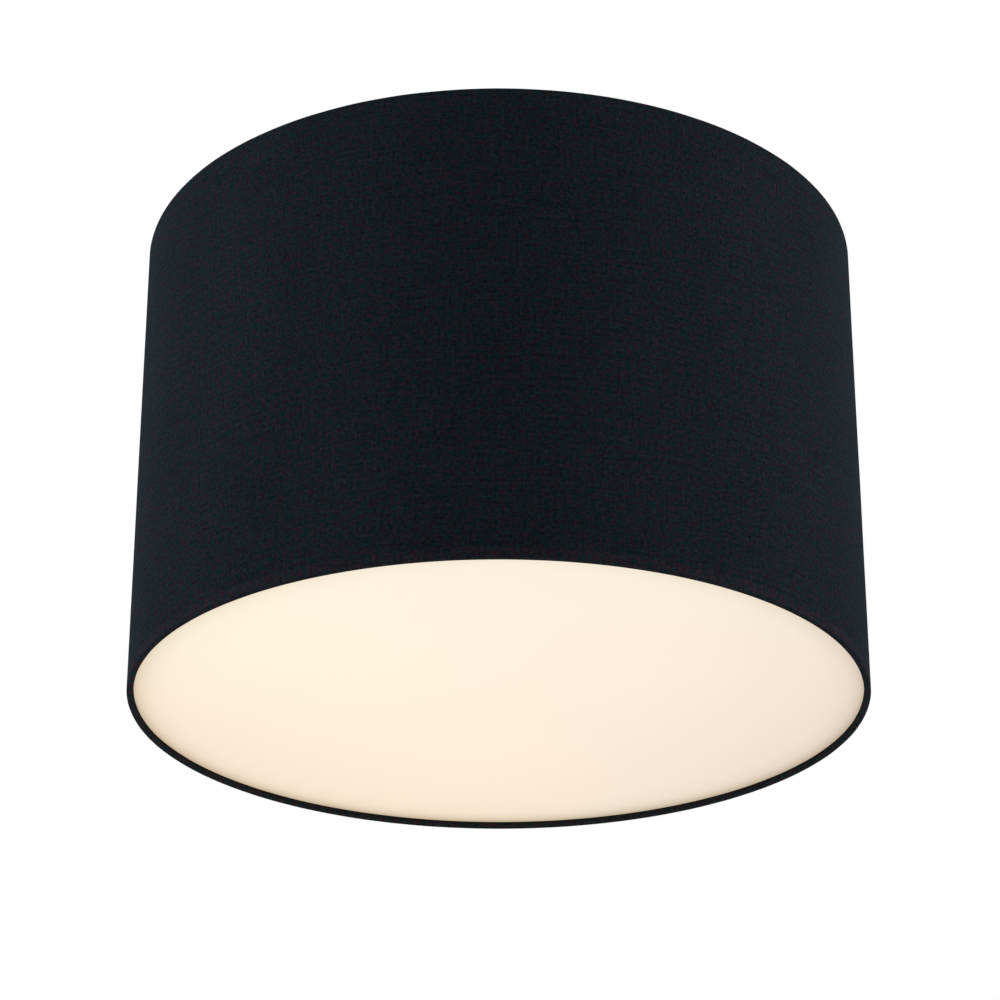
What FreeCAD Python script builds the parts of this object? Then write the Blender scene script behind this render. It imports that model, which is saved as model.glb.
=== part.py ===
"""A flush ceiling light: a cloth drum shade with an opal disc, clipped to a pressed steel ceiling plate.

Millimetres, +Z up. The origin is the centre of the plate's mounting plane, so the light hangs towards -Z.
Three small screw-in bulbs lie flat, pointing outwards, 120 degrees apart, each in a lampholder on a bracket.
"""
import FreeCAD, Part
import Sketcher
import math
import os
import re

Vector = FreeCAD.Vector
UP = Vector(0, 0, 1)

# Driving dimensions: name, millimetres, meaning.
SIZES = [
    # shade
    ("shade_dia", 300, "outside of the cloth"),
    ("shade_height", 200, "top hem to bottom rim"),
    ("ceiling_gap", 12, "ceiling to top hem"),
    ("cloth_gauge", 0.4, "cloth"),
    ("liner_gauge", 0.4, "white laminate the cloth is bonded to"),
    ("rim_wire_dia", 1.6, "wire in the bottom rim"),
    ("rim_wire_play", 0.2, "rim wire to the cloth round it"),
    ("tuck_gap", 0.35, "end of the rolled cloth to the wall"),
    ("hem_depth", 8, "cloth turned in over the top"),
    ("hem_round", 0.7, "outer edge of the top hem"),
    ("seam_width", 10, "lap of the cloth's upright seam"),
    ("seam_rise", 0.3, "seam beyond the wall, and into it"),
    ("bond_gap", 0.15, "adhesive between the band and what lies against it"),
    # shade carrier
    ("band_gauge", 1, "band inside the top hem"),
    ("band_height", 13, "band inside the top hem"),
    ("tab_width", 15, "arms of the carrier"),
    ("tab_gauge", 1.5, "arms of the carrier"),
    ("tab_bend", 1.5, "inside bend of an arm"),
    ("tab_play", 1.6, "plate's flange to the arms"),
    ("notch_width", 11, "window for the spring's nose"),
    ("notch_height", 8, "window for the spring's nose"),
    ("notch_drop", 4, "top of an arm to the window"),
    ("notch_bite", 2.2, "start of the spring's nose to the window's upper edge, which rests on it"),
    # opal disc
    ("disc_gauge", 2, "acrylic disc"),
    ("disc_play", 0.9, "disc's edge to the liner"),
    ("seat_gap", 0.15, "disc to the rim it lies on"),
    # ceiling plate
    ("plate_dia", 230, "outside of the flange"),
    ("plate_gauge", 1.2, "sheet steel"),
    ("plate_depth", 18, "height of the flange"),
    ("plate_bend", 3, "outside bend of the flange"),
    ("recess_dia", 132, "pressed centre"),
    ("recess_depth", 2.5, "pressed centre"),
    ("recess_slope", 4, "width of the pressed slope"),
    ("screw_spacing", 160, "between the two ceiling screws"),
    ("slot_width", 5, "slot for a ceiling screw"),
    ("slot_length", 14, "slot for a ceiling screw"),
    ("spring_window_width", 13, "window in the flange"),
    ("spring_window_height", 11, "window in the flange"),
    ("spring_window_drop", 5.5, "ceiling to the window"),
    # cable entry
    ("entry_offset", 42, "centre to the cable entry"),
    ("entry_dia", 15, "hole in the plate"),
    ("grommet_bore", 9, "largest cable"),
    ("grommet_lip", 2.2, "width of the grommet's lips"),
    ("grommet_lip_height", 1.6, "thickness of a lip"),
    # spring clips
    ("spring_gauge", 0.6, "spring strip"),
    ("spring_width", 9, "spring strip"),
    ("spring_foot", 14, "welded foot"),
    ("spring_play", 0.9, "flange to the spring"),
    ("nose_reach", 3.6, "nose beyond the flange"),
    ("nose_level", 12, "ceiling to the nose"),
    ("nose_half", 4.2, "half height of the nose"),
    ("spring_tail", 8, "finger end below the nose"),
    ("spring_bend", 0.8, "inside bends of the nose"),
    ("spring_foot_bend", 1.2, "inside bend at the foot"),
    # lamp brackets
    ("lamp_level", 48, "ceiling to the lamp axis"),
    ("bracket_face", 31.5, "light's axis to the face that a lampholder seats on"),
    ("bracket_gauge", 1.5, "sheet steel"),
    ("bracket_bend", 1.5, "inside bend"),
    ("bracket_width", 24, "leg and foot"),
    ("bracket_foot", 25, "length of the foot"),
    ("bracket_reach", 13, "leg below the lamp axis"),
    ("bracket_corner", 10, "rounded end of the leg"),
    ("rivet_shank_dia", 3.2, "bracket rivets"),
    ("rivet_head_dia", 6, "bracket rivets"),
    ("rivet_head_height", 1.2, "bracket rivets"),
    ("rivet_crown_dia", 4.4, "flat crown of a rivet's head"),
    ("rivet_inner", 10, "bracket face to the first rivet"),
    ("rivet_pitch", 9, "between a bracket's rivets"),
    # lampholders
    ("nipple_dia", 10, "threaded tube"),
    ("nipple_bore", 7, "threaded tube"),
    ("nipple_front", 6, "tube inside the lampholder"),
    ("nipple_back", 1.5, "tube beyond the nut"),
    ("fit_gap", 0.05, "seat of a tube, shank or shell"),
    ("nut_flats", 14, "lampholder nut"),
    ("nut_height", 3, "lampholder nut"),
    ("holder_length", 42, "lampholder"),
    ("holder_dia", 26, "lampholder skirt"),
    ("holder_wall", 1.8, "lampholder skirt"),
    ("holder_bead", 0.6, "bead round the mouth"),
    ("holder_bead_width", 3, "bead round the mouth"),
    ("hub_dia", 16, "hub on the bracket"),
    ("hub_length", 3, "hub on the bracket"),
    ("shoulder_length", 7, "hub to full width"),
    ("chamber_start", 10.5, "bracket face to the contact's chamber"),
    ("chamber_dia", 13, "contact's chamber"),
    ("shell_start", 15.5, "bracket face to the screw shell"),
    ("shell_length", 19.5, "screw shell"),
    ("shell_bore", 14.5, "screw shell"),
    ("shell_gauge", 0.35, "screw shell"),
    ("socket_depth", 9, "moulding that grips the shell"),
    ("contact_width", 4, "centre contact"),
    ("contact_gauge", 0.5, "centre contact"),
    ("contact_bend", 0.4, "inside bends of the centre contact"),
    # bulbs
    ("bulb_start", 14.5, "bracket face to the bulb's tip contact"),
    ("bulb_length", 80, "tip contact to the globe's crown"),
    ("globe_dia", 45, "opal globe"),
    ("globe_neck", 40, "tip contact to the globe's edge"),
    ("cap_dia", 13.8, "over the thread"),
    ("cap_start", 4, "tip contact to the shell"),
    ("cap_length", 17, "screw shell and its rim"),
    ("cap_rim_dia", 14.2, "rim of the cap"),
    ("cap_rim_width", 2, "rim of the cap"),
    ("collar_waist_dia", 16, "collar at the cap"),
    ("collar_flare_dia", 18, "collar a third of the way up"),
    ("collar_lip", 0.4, "collar beyond the globe's edge"),
    ("tip_dia", 4.8, "tip contact"),
    ("tip_height", 1.2, "tip contact"),
    ("insulator_dia", 11.6, "insulator at the shell"),
    ("insulator_tip_dia", 6.4, "insulator at the tip contact"),
    # terminal block and earth
    ("block_length", 30, "three poles"),
    ("block_width", 17, "wire entry to wire entry"),
    ("block_height", 15, "base to the screw towers"),
    ("block_base", 9.5, "height of the entries' housing"),
    ("pole_pitch", 10, "pole to pole"),
    ("tower_dia", 7, "screw tower"),
    ("tower_spread", 9, "between a pole's two screws"),
    ("entry_bore", 4.4, "wire entry"),
    ("terminal_screw_dia", 3.4, "terminal screw"),
    ("terminal_screw_drop", 1.2, "screw below its tower's edge"),
    ("driver_slot", 0.6, "width of a screw's slot"),
    ("fixing_dia", 3, "screw that holds the block"),
    ("fixing_head_dia", 5, "screw that holds the block"),
    ("fixing_head_height", 1.8, "screw that holds the block"),
    ("fixing_tail", 1, "screw beyond the plate"),
    ("stud_dia", 4, "earth stud"),
    ("stud_length", 11, "earth stud below the plate"),
    ("stud_offset_x", 27, "earth stud"),
    ("stud_offset_y", 21, "earth stud"),
    ("lug_dia", 10.4, "ring of the earth lug"),
    ("lug_gauge", 0.8, "earth lug"),
    ("washer_dia", 9, "serrated washer"),
    ("washer_gauge", 0.7, "serrated washer"),
    ("earth_nut_flats", 7, "earth nut"),
    ("earth_nut_height", 3.2, "earth nut"),
    # wiring
    ("wire_dia", 1.8, "insulated wire"),
    ("wire_pair", 2.2, "between the two wires in a tube"),
    ("wire_nest", 1.08, "middle of a pole's entry to each of its three wires"),
    ("wire_lead", 8.5, "block to a wire's last bend"),
    ("wire_insert", 4, "wire inside the block"),
]

# Rules worked out from the sizes above.
RULES = {
    "shade_r": "shade_dia / 2",
    "shade_top": "0 - ceiling_gap",
    "shade_low": "shade_top - shade_height",
    "liner_r": "shade_r - cloth_gauge",
    "liner_in": "liner_r - liner_gauge",
    "band_r": "liner_in - bond_gap",
    "hem_r": "band_r - band_gauge - bond_gap - cloth_gauge",
    "roll_in": "rim_wire_dia / 2 + rim_wire_play",
    "roll_r": "roll_in + cloth_gauge",
    "rim_r": "shade_r - roll_r",
    "rim_z": "shade_low + roll_r",
    "rim_seat": "rim_z + roll_r",
    "disc_low": "rim_seat + seat_gap",
    "disc_r": "liner_in - disc_play",
    "band_top": "shade_top - cloth_gauge",
    "band_low": "band_top - band_height",
    "plate_r": "plate_dia / 2",
    "flange_in": "plate_r - plate_gauge",
    "leg_in": "plate_r + tab_play",
    "leg_out": "leg_in + tab_gauge",
    "tab_top": "band_low + tab_gauge",
    "notch_top": "0 - nose_level + nose_half - notch_bite",
    "leg_top": "notch_top + notch_drop",
    "recess_r": "recess_dia / 2",
    "plate_under": "0 - recess_depth - plate_gauge",
    "foot_under": "plate_under - bracket_gauge",
    "leg_back": "bracket_face - bracket_gauge",
    "holder_mouth": "bracket_face + holder_length",
    "shell_r": "shell_bore / 2 + shell_gauge",
    "bulb_at": "bracket_face + bulb_start",
    "globe_r": "globe_dia / 2",
    "globe_at": "bulb_at + bulb_length - globe_r",
    "neck_at": "bulb_at + globe_neck",
    "cap_end": "bulb_at + cap_start + cap_length",
}

LAMP_ANGLES = (90, 210, 330)
ARM_TURN = 30  # the carrier's arms lie midway between the lamps
TURNS = 3  # lamps, arms and springs round the axis
HEX_HALF_FLAT = 0.288675  # half a hexagon's side, as a share of its width across the flats

doc = FreeCAD.newDocument("ceiling_light")
sheet = doc.addObject("Spreadsheet::Sheet", "sizes")
nodes = {}


def fill_sheet():
    for row, (name, number, meaning) in enumerate(SIZES, start=1):
        sheet.set(f"A{row}", name)
        sheet.set(f"B{row}", str(number))
        sheet.setAlias(f"B{row}", name)
        sheet.set(f"C{row}", meaning)
    doc.recompute()


SIZE_NAMES = {name for name, _, _ in SIZES}


def rule(text):
    """The expression for a rule: sizes become cells of the sheet, and named rules are written out."""
    def swap(match):
        word = match.group(0)
        if word in SIZE_NAMES:
            return "sizes." + word
        if word in RULES:
            return "(" + rule(RULES[word]) + ")"
        return word
    return re.sub(r"[a-z][a-z_]*", swap, str(text))


def size(text):
    """A rule's value in millimetres."""
    return float(sheet.evalExpression(rule(text)))


def bind(item, name, text):
    item.setExpression(name, rule(text))


# ---------------------------------------------------------------- bodies, sketches and features


def new_body(label, level=None, turn=0):
    body = doc.addObject("PartDesign::Body", label)
    body.Label = label
    body.AllowCompound = True
    body.Placement = FreeCAD.Placement(Vector(), FreeCAD.Rotation(UP, turn))
    if level:
        bind(body, "Placement.Base.z", level)
    nodes[label] = body
    return body


def datum(body, role):
    return next(item for item in body.Origin.OriginFeatures if item.Role == role)


def new_sketch(body, name, plane, offset=None):
    sketch = body.newObject("Sketcher::SketchObject", name)
    sketch.AttachmentSupport = [(datum(body, plane), "")]
    sketch.MapMode = "FlatFace"
    if offset:
        bind(sketch, "AttachmentOffset.Base.z", offset)
    return sketch


def pin_point(sketch, geometry, end, x, y):
    """Ties a point of the sketch to the rules for its two coordinates. A rule of None is left to the arc it ends."""
    for kind, text in (("DistanceX", x), ("DistanceY", y)):
        if text is not None:
            index = sketch.addConstraint(Sketcher.Constraint(kind, -1, 1, geometry, end, size(text)))
            bind(sketch, f"Constraints[{index}]", text)


def rounded_corner(sketch, point, before, after, radius_rule):
    """Adds a corner's arc and returns it with its two tangent points, before and after the corner."""
    radius = size(radius_rule)
    back, ahead = (before - point).normalize(), (after - point).normalize()
    half = back.getAngle(ahead) / 2
    centre = point + (back + ahead).normalize() * (radius / math.sin(half))
    start, end = point + back * (radius / math.tan(half)), point + ahead * (radius / math.tan(half))
    left_turn = back.cross(ahead).z < 0
    first, last = (start, end) if left_turn else (end, start)
    angles = [math.atan2((p - centre).y, (p - centre).x) for p in (first, last)]
    arc = sketch.addGeometry(Part.ArcOfCircle(Part.Circle(centre, UP, radius), *angles), False)
    return arc, start, end, (1, 2) if left_turn else (2, 1)


def outline(sketch, corners):
    """One closed loop of straight runs. A corner is (x, y), or (x, y, radius) where it is rounded."""
    points = [Vector(size(c[0]), size(c[1]), 0) for c in corners]
    count = len(points)
    arcs, starts, ends = {}, list(points), list(points)
    for i, corner in enumerate(corners):
        if len(corner) > 2:
            made = rounded_corner(sketch, points[i], points[i - 1], points[(i + 1) % count], corner[2])
            arcs[i], ends[i], starts[i] = (made[0], made[3]), made[1], made[2]
    lines = [
        sketch.addGeometry(Part.LineSegment(starts[i], ends[(i + 1) % count]), False)
        for i in range(count)
    ]
    for i, corner in enumerate(corners):
        before, after = lines[i - 1], lines[i]
        if i not in arcs:
            sketch.addConstraint(Sketcher.Constraint("Coincident", before, 2, after, 1))
            pin_point(sketch, after, 1, corner[0], corner[1])
            continue
        arc, (first, last) = arcs[i]
        mark = sketch.addGeometry(Part.Point(points[i]), True)
        sketch.addConstraint(Sketcher.Constraint("PointOnObject", mark, 1, before))
        sketch.addConstraint(Sketcher.Constraint("PointOnObject", mark, 1, after))
        pin_point(sketch, mark, 1, corner[0], corner[1])
        sketch.addConstraint(Sketcher.Constraint("Tangent", before, 2, arc, first))
        sketch.addConstraint(Sketcher.Constraint("Tangent", arc, last, after, 1))
        index = sketch.addConstraint(Sketcher.Constraint("Radius", arc, size(corner[2])))
        bind(sketch, f"Constraints[{index}]", corner[2])


def circle(sketch, x, y, radius):
    centre = Vector(size(x), size(y), 0)
    ring = sketch.addGeometry(Part.Circle(centre, UP, size(radius)), False)
    pin_point(sketch, ring, 3, x, y)
    index = sketch.addConstraint(Sketcher.Constraint("Radius", ring, size(radius)))
    bind(sketch, f"Constraints[{index}]", radius)


def rectangle(sketch, x0, x1, y0, y1):
    outline(sketch, [(x0, y0), (x1, y0), (x1, y1), (x0, y1)])


def revolve(body, sketch, axis="V_Axis"):
    feature = body.newObject("PartDesign::Revolution", sketch.Name + "_turned")
    feature.Profile = sketch
    feature.ReferenceAxis = (sketch, [axis])
    feature.Angle = 360
    sketch.Visibility = False
    doc.recompute()
    return feature


def pad(body, sketch, length, both_ways=False, turned=False):
    feature = body.newObject("PartDesign::Pad", sketch.Name + "_pad")
    feature.Profile = sketch
    feature.Midplane = both_ways
    feature.Reversed = turned
    bind(feature, "Length", length)
    doc.recompute()
    return feature


def pocket(body, sketch, length, both_ways=False, turned=False):
    """Cuts the sketch out of the body, and stops the build if nothing was cut."""
    before = body.Shape.Volume
    feature = body.newObject("PartDesign::Pocket", sketch.Name + "_cut")
    feature.Profile = sketch
    feature.Midplane = both_ways
    feature.Reversed = turned
    bind(feature, "Length", length)
    doc.recompute()
    if body.Shape.Volume > before - 1e-6:
        raise RuntimeError(f"{body.Label}: {sketch.Name} cuts nothing")
    return feature


def repeat_round(body, features, copies=TURNS):
    pattern = body.newObject("PartDesign::PolarPattern", body.Name + "_round")
    pattern.Originals = features
    pattern.Axis = (datum(body, "Z_Axis"), [""])
    pattern.Angle = 360
    pattern.Occurrences = copies
    body.Tip = pattern
    doc.recompute()
    return pattern


def turned_body(label, corners, level=None, turn=0, axis="V_Axis"):
    """A body turned from one profile, about the upright axis, or about X with axis H_Axis."""
    body = new_body(label, level, turn)
    profile = new_sketch(body, label + "_profile", "XZ_Plane")
    outline(profile, corners)
    revolve(body, profile, axis)
    return body


def shape_node(label, shape, turn=0, level=0.0):
    """A piece whose shape is worked out here and then placed."""
    item = doc.addObject("Part::Feature", label)
    item.Label = label
    item.Shape = shape
    item.Placement = FreeCAD.Placement(Vector(0, 0, level), FreeCAD.Rotation(UP, turn))
    nodes[label] = item
    return item


# ---------------------------------------------------------------- shade


def roll_arc(sketch, radius):
    """The half circle under the rim wire, from its inner side to its outer side."""
    centre = Vector(size("rim_r"), size("rim_z"), 0)
    ring = Part.Circle(centre, UP, size(radius))
    arc = sketch.addGeometry(Part.ArcOfCircle(ring, math.pi, 2 * math.pi), False)
    pin_point(sketch, arc, 3, "rim_r", "rim_z")
    pin_point(sketch, arc, 1, f"rim_r - {radius}", None)
    sketch.addConstraint(Sketcher.Constraint("Horizontal", arc, 1, arc, 2))
    sketch.addConstraint(Sketcher.Constraint("Horizontal", arc, 1, arc, 3))
    return arc


def open_run(sketch, points):
    """A run of straight lines through the points, whose ends are left to what they join."""
    places = [Vector(size(x), size(y), 0) for x, y in points]
    lines = [
        sketch.addGeometry(Part.LineSegment(a, b), False) for a, b in zip(places, places[1:])
    ]
    for before, after in zip(lines, lines[1:]):
        sketch.addConstraint(Sketcher.Constraint("Coincident", before, 2, after, 1))
    for line, (x, y) in zip(lines[1:], points[1:-1]):
        pin_point(sketch, line, 1, x, y)
    return lines


def shade_cloth():
    """The cloth: turned in over the top band, down the wall, and rolled round the rim wire."""
    body = new_body("shade_cloth")
    profile = new_sketch(body, "cloth_profile", "XZ_Plane")
    wall = open_run(profile, [
        ("shade_r", "rim_z"),
        ("shade_r", "shade_top - hem_round"),
        ("shade_r - hem_round", "shade_top"),
        ("hem_r", "shade_top"),
        ("hem_r", "shade_top - hem_depth"),
        ("hem_r + cloth_gauge", "shade_top - hem_depth"),
        ("hem_r + cloth_gauge", "band_top"),
        ("liner_r", "band_top"),
        ("liner_r", "rim_z"),
    ])
    tuck = open_run(profile, [
        ("rim_r - roll_in", "rim_z"),
        ("rim_r - roll_in", "rim_seat - cloth_gauge"),
        ("liner_r - tuck_gap", "rim_seat - cloth_gauge"),
        ("liner_r - tuck_gap", "rim_seat"),
        ("rim_r - roll_r", "rim_seat"),
        ("rim_r - roll_r", "rim_z"),
    ])
    inner = roll_arc(profile, "roll_in")
    outer = roll_arc(profile, "roll_r")
    for line, end, arc, side in (
        (wall[0], 1, outer, 2), (wall[-1], 2, inner, 2), (tuck[0], 1, inner, 1), (tuck[-1], 2, outer, 1)
    ):
        profile.addConstraint(Sketcher.Constraint("Coincident", line, end, arc, side))
    revolve(body, profile)
    seam = new_sketch(body, "seam", "XY_Plane", offset="rim_z")
    rectangle(
        seam, "0 - seam_width / 2", "seam_width / 2",
        "shade_r - seam_rise", "shade_r + seam_rise",
    )
    pad(body, seam, "shade_top - hem_round - rim_z")


def shade_liner():
    turned_body("shade_liner", [
        ("liner_in", "rim_seat + tuck_gap"),
        ("liner_r", "rim_seat + tuck_gap"),
        ("liner_r", "band_top"),
        ("liner_in", "band_top"),
    ])


def rim_wire():
    body = new_body("rim_wire")
    profile = new_sketch(body, "rim_wire_profile", "XZ_Plane")
    circle(profile, "rim_r", "rim_z", "rim_wire_dia / 2")
    revolve(body, profile)


def shade_carrier():
    """The band inside the top hem, with three arms that turn up beside the plate's flange."""
    body = turned_body("shade_carrier", [
        ("band_r - band_gauge", "band_low"),
        ("band_r", "band_low"),
        ("band_r", "band_top"),
        ("band_r - band_gauge", "band_top"),
    ], turn=ARM_TURN)
    arm = new_sketch(body, "arm_profile", "XZ_Plane")
    outline(arm, [
        ("leg_in", "band_low", "tab_bend + tab_gauge"),
        ("band_r - band_gauge / 2", "band_low"),
        ("band_r - band_gauge / 2", "tab_top"),
        ("leg_out", "tab_top", "tab_bend"),
        ("leg_out", "leg_top"),
        ("leg_in", "leg_top"),
    ])
    arm_pad = pad(body, arm, "tab_width", both_ways=True)
    window = new_sketch(body, "notch", "YZ_Plane")
    rectangle(window, "0 - notch_width / 2", "notch_width / 2", "notch_top - notch_height", "notch_top")
    notch = pocket(body, window, "leg_out + tab_gauge", turned=True)
    repeat_round(body, [arm_pad, notch])


def opal_disc():
    turned_body("opal_disc", [
        ("0", "disc_low"), ("disc_r", "disc_low"), ("disc_r", "disc_low + disc_gauge"), ("0", "disc_low + disc_gauge"),
    ])


# ---------------------------------------------------------------- ceiling plate


def ceiling_plate():
    """A pressed pan: flat rim against the ceiling, pressed centre, flange down, and its holes."""
    body = turned_body("ceiling_plate", [
        ("0", "plate_under"),
        ("recess_r - plate_gauge", "plate_under"),
        ("recess_r + recess_slope - plate_gauge", "0 - plate_gauge"),
        ("flange_in", "0 - plate_gauge", "plate_bend - plate_gauge"),
        ("flange_in", "0 - plate_depth"),
        ("plate_r", "0 - plate_depth"),
        ("plate_r", "0", "plate_bend"),
        ("recess_r + recess_slope", "0"),
        ("recess_r", "0 - recess_depth"),
        ("0", "0 - recess_depth"),
    ])
    windows = new_sketch(body, "spring_window", "YZ_Plane")
    rectangle(
        windows, "0 - spring_window_width / 2", "spring_window_width / 2",
        "0 - spring_window_drop - spring_window_height", "0 - spring_window_drop",
    )
    window = pocket(body, windows, "plate_r + plate_gauge", turned=True)
    repeat_round(body, [window])
    body.Placement = FreeCAD.Placement(Vector(), FreeCAD.Rotation(UP, ARM_TURN))
    return body


def plate_holes(body):
    """Slots for the ceiling screws, the cable entry, the stud and the screw and rivet holes, in the plate's own turn."""
    holes = new_sketch(body, "holes", "XY_Plane")
    holes.AttachmentOffset = FreeCAD.Placement(Vector(), FreeCAD.Rotation(UP, -ARM_TURN))
    for side in ("1", "-1"):
        slot(holes, f"{side} * screw_spacing / 2", "slot_length", "slot_width")
        circle(holes, f"{side} * pole_pitch / 2", "0", "fixing_dia / 2 + fit_gap")
    circle(holes, "0", "0 - entry_offset", "entry_dia / 2")
    circle(holes, "stud_offset_x", "stud_offset_y", "stud_dia / 2 + fit_gap")
    return pocket(body, holes, "recess_depth + 2 * plate_gauge")


def slot(sketch, x, length, width):
    """A round-ended slot along X, centred on (x, 0)."""
    half = f"({length} - {width}) / 2"
    at, reach, radius = size(x), size(half), size(f"{width} / 2")
    made = []
    for side, start in ((1, -math.pi / 2), (-1, math.pi / 2)):
        ring = Part.Circle(Vector(at + side * reach, 0, 0), UP, radius)
        arc = sketch.addGeometry(Part.ArcOfCircle(ring, start, start + math.pi), False)
        pin_point(sketch, arc, 3, f"({x}) + ({side}) * {half}", "0")
        made.append(arc)
    right, left = made
    for y, first, second in ((-radius, (left, 2), (right, 1)), (radius, (right, 2), (left, 1))):
        span = (-reach, reach) if first[0] == left else (reach, -reach)
        line = sketch.addGeometry(
            Part.LineSegment(Vector(at + span[0], y, 0), Vector(at + span[1], y, 0)), False
        )
        sketch.addConstraint(Sketcher.Constraint("Tangent", line, 1, *first))
        sketch.addConstraint(Sketcher.Constraint("Tangent", line, 2, *second))
    index = sketch.addConstraint(Sketcher.Constraint("Radius", right, radius))
    bind(sketch, f"Constraints[{index}]", f"{width} / 2")


def cable_grommet():
    """A rubber grommet that grips the edge of the cable entry between two lips."""
    body = turned_body("cable_grommet", [
        ("grommet_bore / 2", "plate_under - grommet_lip_height"),
        ("entry_dia / 2 + grommet_lip", "plate_under - grommet_lip_height", "grommet_lip_height / 2"),
        ("entry_dia / 2 + grommet_lip", "plate_under"),
        ("entry_dia / 2", "plate_under"),
        ("entry_dia / 2", "0 - recess_depth"),
        ("entry_dia / 2 + grommet_lip", "0 - recess_depth"),
        ("entry_dia / 2 + grommet_lip", "0 - recess_depth + grommet_lip_height", "grommet_lip_height / 2"),
        ("grommet_bore / 2", "0 - recess_depth + grommet_lip_height"),
    ])
    bind(body, "Placement.Base.y", "0 - entry_offset")


def spring_clips():
    """Three spring strips welded under the plate, whose noses stand through the flange and hold the shade's arms."""
    under = size("0 - plate_gauge - spring_gauge / 2")
    inside = size("flange_in - spring_play - spring_gauge / 2")
    nose = size("plate_r + nose_reach - spring_gauge / 2")
    level, half = size("0 - nose_level"), size("nose_half")
    line = [
        Vector(inside - size("spring_foot"), 0, under),
        Vector(inside, 0, under),
        Vector(inside, 0, level + half),
        Vector(nose, 0, level),
        Vector(inside, 0, level - half),
        Vector(inside, 0, level - half - size("spring_tail")),
    ]
    bends = [0, size("spring_foot_bend"), *[size("spring_bend")] * 3, 0]
    strip = bent_strip(line, bends, size("spring_gauge"), size("spring_width"))
    for number in range(TURNS):
        shape_node(f"spring_clip_{number + 1}", strip.copy(), turn=ARM_TURN + 360 / TURNS * number)


def bent_strip(line, bends, gauge, width):
    """Sheet strip that follows a line in the XZ plane. bends are the radii of the strip's inner side at each point."""
    half = gauge / 2
    runs = [(b - a).normalize() for a, b in zip(line, line[1:])]
    sides = [Vector(-run.z, 0, run.x) for run in runs]
    left, right = [], []
    for i, point in enumerate(line):
        before, after = sides[max(i - 1, 0)], sides[min(i, len(sides) - 1)]
        mitre = (before + after) * (1 / (1 + before.dot(after)))
        turns_left = before.cross(after).y < 0
        radii = (bends[i], bends[i] + gauge) if turns_left else (bends[i] + gauge, bends[i])
        radii = radii if bends[i] else (0, 0)
        left.append((point + mitre * half, radii[0]))
        right.append((point - mitre * half, radii[1]))
    face = Part.Face(rounded_wire(left + right[::-1]))
    face.translate(Vector(0, -width / 2, 0))
    return face.extrude(Vector(0, width, 0))


def rounded_wire(corners, closed=True):
    """Straight runs joined by tangent arcs. corners are (point, radius)."""
    count, edges = len(corners), []
    cuts = []
    for i, (point, radius) in enumerate(corners):
        if not radius or (not closed and i in (0, count - 1)):
            cuts.append((point, point, None))
            continue
        back = (corners[i - 1][0] - point).normalize()
        ahead = (corners[(i + 1) % count][0] - point).normalize()
        half = back.getAngle(ahead) / 2
        reach = radius / math.tan(half)
        middle = point + (back + ahead).normalize() * (radius / math.sin(half) - radius)
        cuts.append((point + back * reach, point + ahead * reach, middle))
    for i, (start, end, middle) in enumerate(cuts):
        if middle is not None:
            edges.append(Part.Arc(start, middle, end).toShape())
        if closed or i < count - 1:
            edges.append(Part.LineSegment(end, cuts[(i + 1) % count][0]).toShape())
    return Part.Wire(edges)


# ---------------------------------------------------------------- lamps


def bracket(number, angle):
    """An L of sheet steel, riveted under the plate, whose leg carries a lampholder."""
    body = new_body(f"lamp_bracket_{number}", turn=angle)
    side = new_sketch(body, f"bracket_{number}_side", "XZ_Plane")
    outline(side, [
        ("leg_back", "plate_under", "bracket_bend + bracket_gauge"),
        ("leg_back + bracket_foot", "plate_under"),
        ("leg_back + bracket_foot", "foot_under"),
        ("bracket_face", "foot_under", "bracket_bend"),
        ("bracket_face", "0 - lamp_level - bracket_reach"),
        ("leg_back", "0 - lamp_level - bracket_reach"),
    ])
    pad(body, side, "bracket_width", both_ways=True)
    hole = new_sketch(body, f"bracket_{number}_hole", "YZ_Plane")
    circle(hole, "0", "0 - lamp_level", "nipple_dia / 2 + fit_gap")
    pocket(body, hole, "bracket_face + bracket_gauge", turned=True)
    rivets = new_sketch(body, f"bracket_{number}_rivets", "XY_Plane")
    for place in ("rivet_inner", "rivet_inner + rivet_pitch"):
        circle(rivets, f"bracket_face + {place}", "0", "rivet_shank_dia / 2")
    pocket(body, rivets, "recess_depth + plate_gauge + 2 * bracket_gauge")
    round_leg(body)


def round_leg(body):
    """Rounds the two corners at the end of the bracket's leg."""
    low, leg = size("0 - lamp_level - bracket_reach"), body.Tip
    ends = [
        f"Edge{i}" for i, edge in enumerate(leg.Shape.Edges, start=1)
        if abs(edge.CenterOfMass.z - low) < 1e-3 and abs(edge.Length - size("bracket_gauge")) < 1e-3
    ]
    fillet = body.newObject("PartDesign::Fillet", body.Name + "_end")
    fillet.Base = (leg, ends)
    bind(fillet, "Radius", "bracket_corner")
    body.Tip = fillet
    doc.recompute()


def rivet_holes(plate):
    """The plate's rivet holes, drilled through with the brackets' own pattern."""
    holes = new_sketch(plate, "rivet_holes", "XY_Plane")
    holes.AttachmentOffset = FreeCAD.Placement(Vector(), FreeCAD.Rotation(UP, LAMP_ANGLES[0] - ARM_TURN))
    for place in ("rivet_inner", "rivet_inner + rivet_pitch"):
        circle(holes, f"bracket_face + {place}", "0", "rivet_shank_dia / 2")
    cut = pocket(plate, holes, "recess_depth + 2 * plate_gauge")
    repeat_round(plate, [cut])


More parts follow.
